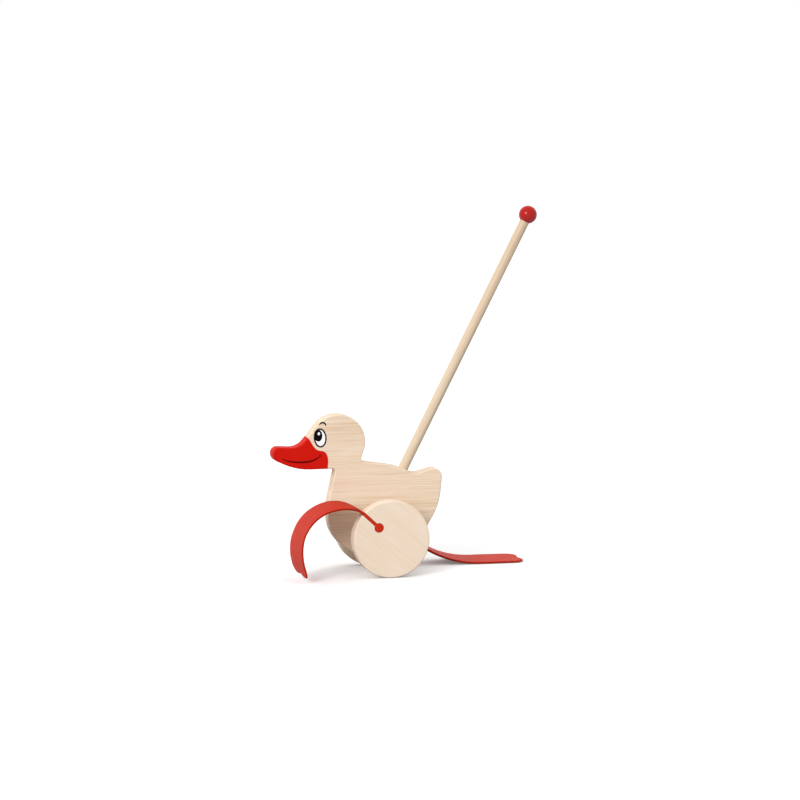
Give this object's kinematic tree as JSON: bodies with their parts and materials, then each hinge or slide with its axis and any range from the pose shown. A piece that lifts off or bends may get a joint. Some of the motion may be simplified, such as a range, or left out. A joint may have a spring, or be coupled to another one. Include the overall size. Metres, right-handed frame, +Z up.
{
  "type": "push-along duck toy",
  "caption": "Sawn wooden duck on wheels with a long slanted push stick and ball knob; red rubber webbed feet held in slots of the wheels flap on the floor as it rolls.",
  "frame": {"origin": "point on the floor under the middle of the toy's overall length and width", "axes": "+Z up; +X from the beak towards the tail; +Y towards the duck's right side"},
  "size_m": [0.3872, 0.19, 0.5189],
  "materials": {
    "body_wood": "pale beech, clear satin finish, beak painted red",
    "wheel_wood": "pale beech, clear satin finish",
    "dowel_wood": "pale beech dowel, clear satin finish",
    "red_lacquer": "red gloss lacquer on wood",
    "red_rubber": "smooth red rubber"
  },
  "bodies": {
    "duck": {"duck_body": "body_wood", "push_stick": "dowel_wood", "ball_knob": "red_lacquer"},
    "wheelset": {"axle": "dowel_wood", "left_wheel": "wheel_wood", "right_wheel": "wheel_wood", "left_spacer": "dowel_wood", "right_spacer": "dowel_wood"},
    "left_flap": {"left_foot": "red_rubber"},
    "right_flap": {"right_foot": "red_rubber"}
  },
  "joints": [
    {"name": "wheel_roll", "type": "hinge", "parent": "duck", "child": "wheelset", "pos_m": [-0.03463, 0, 0.055], "axis": [0, -1, 0], "continuous": true},
    {"name": "left_foot_bend", "type": "hinge", "parent": "wheelset", "child": "left_flap", "pos_m": [-0.07486, -0.058, 0.09251], "axis": [0, 1, 0], "range_deg": [-10, 90], "stiffness_Nm_per_rad": 0.12, "springref_deg": 11.46, "deforming": ["left_foot"]},
    {"name": "right_foot_bend", "type": "hinge", "parent": "wheelset", "child": "right_flap", "pos_m": [0.01637, 0.058, 0.0344], "axis": [0, -1, 0], "range_deg": [-10, 90], "stiffness_Nm_per_rad": 0.12, "springref_deg": 11.46, "deforming": ["right_foot"]}
  ]
}
